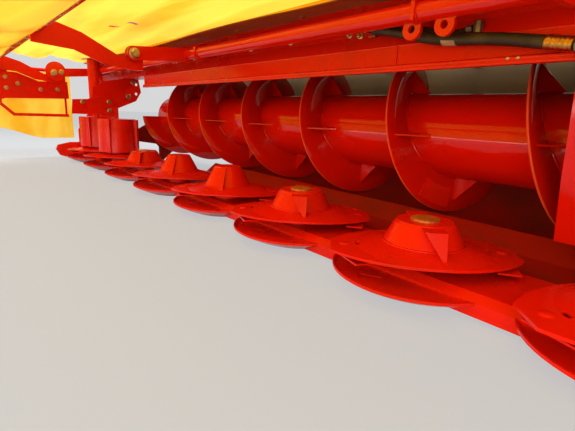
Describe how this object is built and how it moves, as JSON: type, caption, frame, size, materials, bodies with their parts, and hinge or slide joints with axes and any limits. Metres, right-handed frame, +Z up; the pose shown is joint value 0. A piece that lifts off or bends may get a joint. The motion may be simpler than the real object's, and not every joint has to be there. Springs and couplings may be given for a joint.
{
  "type": "side-mounted disc mower",
  "caption": "Side-mounted disc mower with cross auger, folding tarp guards, boom with lift cylinder, three-point headstock and parking legs.",
  "frame": {"origin": "middle of the footprint's bounding box on the ground", "axes": "+X along the cutter bar away from the hitch, +Y to the rear, against the driving direction, +Z up"},
  "size_m": [5.3098, 1.893, 1.292],
  "materials": {
    "red_paint": "gloss orange-red powder coat",
    "dark_red_paint": "worn red paint",
    "tarp": "yellow coated fabric",
    "knife_steel": "bare hardened steel",
    "beige_sheet": "dusty sheet",
    "chrome_rod": "hard chrome",
    "rubber": "hydraulic hose",
    "zinc_steel": "zinc plated"
  },
  "bodies": {
    "headstock": {"headstock": "red_paint", "mast": "red_paint"},
    "leg_left": {"leg_left": "zinc_steel"},
    "leg_right": {"leg_right": "zinc_steel"},
    "swing_frame": {"swing_frame": "red_paint"},
    "boom": {"boom": "red_paint"},
    "lift_barrel": {"lift_barrel": "red_paint"},
    "lift_rod": {"lift_rod": "chrome_rod"},
    "unit": {"cutter_bar": "red_paint", "skids": "dark_red_paint", "shoe_left": "red_paint", "shoe_right": "red_paint", "main_beam": "red_paint", "hinge_tube": "red_paint", "end_plate_left": "red_paint", "end_plate_right": "red_paint", "guide_plate": "red_paint", "deflector": "red_paint", "trough": "dark_red_paint", "rear_hood": "beige_sheet", "cover_tarp": "tarp", "top_cover": "beige_sheet", "auger_bracket": "dark_red_paint", "gearbox": "red_paint", "unit_pivot": "red_paint", "hose": "rubber", "hose_ends": "zinc_steel"},
    "auger": {"auger_tube": "red_paint", "auger_flight": "red_paint"},
    "disc_1": {"disc_1": "red_paint", "knives_1": "knife_steel"},
    "disc_2": {"disc_2": "red_paint", "knives_2": "knife_steel"},
    "disc_3": {"disc_3": "red_paint", "knives_3": "knife_steel"},
    "disc_4": {"disc_4": "red_paint", "knives_4": "knife_steel"},
    "disc_5": {"disc_5": "red_paint", "knives_5": "knife_steel"},
    "disc_6": {"disc_6": "red_paint", "knives_6": "knife_steel"},
    "disc_7": {"disc_7": "red_paint", "knives_7": "knife_steel", "drum_7": "red_paint"},
    "disc_8": {"disc_8": "red_paint", "knives_8": "knife_steel", "drum_8": "red_paint"},
    "front_guard": {"guard_frame": "red_paint", "guard_rail": "red_paint", "guard_outriggers": "red_paint", "guard_tarp": "tarp"},
    "side_guard_left": {"side_frame_left": "red_paint", "side_tarp_left": "tarp"},
    "side_guard_right": {"side_frame_right": "red_paint", "side_tarp_right": "tarp"},
    "rear_flap": {"rear_flap": "beige_sheet"}
  },
  "joints": [
    {"name": "leg_left_slide", "type": "slide", "parent": "headstock", "child": "leg_left", "axis": [0, 0, 1], "range_m": [0, 0.3]},
    {"name": "leg_right_slide", "type": "slide", "parent": "headstock", "child": "leg_right", "axis": [0, 0, 1], "range_m": [0, 0.3]},
    {"name": "breakaway", "type": "hinge", "parent": "headstock", "child": "swing_frame", "pos_m": [-1.7394, -0.6265, 0.9], "axis": [0, 0, 1], "range_deg": [0, 12]},
    {"name": "boom_lift", "type": "hinge", "parent": "swing_frame", "child": "boom", "pos_m": [-0.8894, 0.4135, 0.95], "axis": [0, -1, 0], "range_deg": [0, 90]},
    {"name": "barrel_pivot", "type": "hinge", "parent": "swing_frame", "child": "lift_barrel", "pos_m": [-1.3394, 0.4135, 1.25], "axis": [0, -1, 0], "range_deg": [0, 90]},
    {"name": "rod_slide", "type": "slide", "parent": "lift_barrel", "child": "lift_rod", "axis": [0.9961, 0, -0.0879], "range_m": [-0.75, 0]},
    {"name": "unit_tilt", "type": "hinge", "parent": "boom", "child": "unit", "pos_m": [0.7606, 0.4135, 0.73], "axis": [0, -1, 0], "range_deg": [-4, 4]},
    {"name": "auger_spin", "type": "hinge", "parent": "unit", "child": "auger", "pos_m": [0.7606, 0.6375, 0.321], "axis": [1, 0, 0], "continuous": true},
    {"name": "disc_1_spin", "type": "hinge", "parent": "unit", "child": "disc_1", "pos_m": [2.27435, 0.2235, 0.08], "axis": [0, 0, 1], "continuous": true},
    {"name": "disc_2_spin", "type": "hinge", "parent": "unit", "child": "disc_2", "pos_m": [1.84185, 0.2235, 0.08], "axis": [0, 0, 1], "continuous": true},
    {"name": "disc_3_spin", "type": "hinge", "parent": "unit", "child": "disc_3", "pos_m": [1.40935, 0.2235, 0.08], "axis": [0, 0, 1], "continuous": true},
    {"name": "disc_4_spin", "type": "hinge", "parent": "unit", "child": "disc_4", "pos_m": [0.97685, 0.2235, 0.08], "axis": [0, 0, 1], "continuous": true},
    {"name": "disc_5_spin", "type": "hinge", "parent": "unit", "child": "disc_5", "pos_m": [0.54435, 0.2235, 0.08], "axis": [0, 0, 1], "continuous": true},
    {"name": "disc_6_spin", "type": "hinge", "parent": "unit", "child": "disc_6", "pos_m": [0.11185, 0.2235, 0.08], "axis": [0, 0, 1], "continuous": true},
    {"name": "disc_7_spin", "type": "hinge", "parent": "unit", "child": "disc_7", "pos_m": [-0.32065, 0.2235, 0.08], "axis": [0, 0, 1], "continuous": true},
    {"name": "disc_8_spin", "type": "hinge", "parent": "unit", "child": "disc_8", "pos_m": [-0.75315, 0.2235, 0.08], "axis": [0, 0, 1], "continuous": true},
    {"name": "front_guard_fold", "type": "hinge", "parent": "unit", "child": "front_guard", "pos_m": [0.7606, 0.0275, 0.582], "axis": [-1, 0, 0], "range_deg": [0, 90]},
    {"name": "side_guard_left_fold", "type": "hinge", "parent": "unit", "child": "side_guard_left", "pos_m": [-1.1054, -0.0765, 0.602], "axis": [0, 1, 0], "range_deg": [0, 90]},
    {"name": "side_guard_right_fold", "type": "hinge", "parent": "unit", "child": "side_guard_right", "pos_m": [2.6266, -0.0765, 0.602], "axis": [0, -1, 0], "range_deg": [0, 90]},
    {"name": "rear_flap_swing", "type": "hinge", "parent": "unit", "child": "rear_flap", "pos_m": [0.7606, 0.9285, 0.624], "axis": [1, 0, 0], "range_deg": [0, 60]}
  ],
  "couplings": [
    {"joint": "barrel_pivot", "follows": "boom_lift", "ratio": 0.8613},
    {"joint": "rod_slide", "follows": "boom_lift", "m_per_rad": -0.45223},
    {"joint": "disc_2_spin", "follows": "disc_1_spin", "ratio": -1},
    {"joint": "disc_3_spin", "follows": "disc_1_spin", "ratio": 1},
    {"joint": "disc_4_spin", "follows": "disc_1_spin", "ratio": -1},
    {"joint": "disc_5_spin", "follows": "disc_1_spin", "ratio": 1},
    {"joint": "disc_6_spin", "follows": "disc_1_spin", "ratio": -1},
    {"joint": "disc_7_spin", "follows": "disc_1_spin", "ratio": 1},
    {"joint": "disc_8_spin", "follows": "disc_1_spin", "ratio": -1}
  ]
}
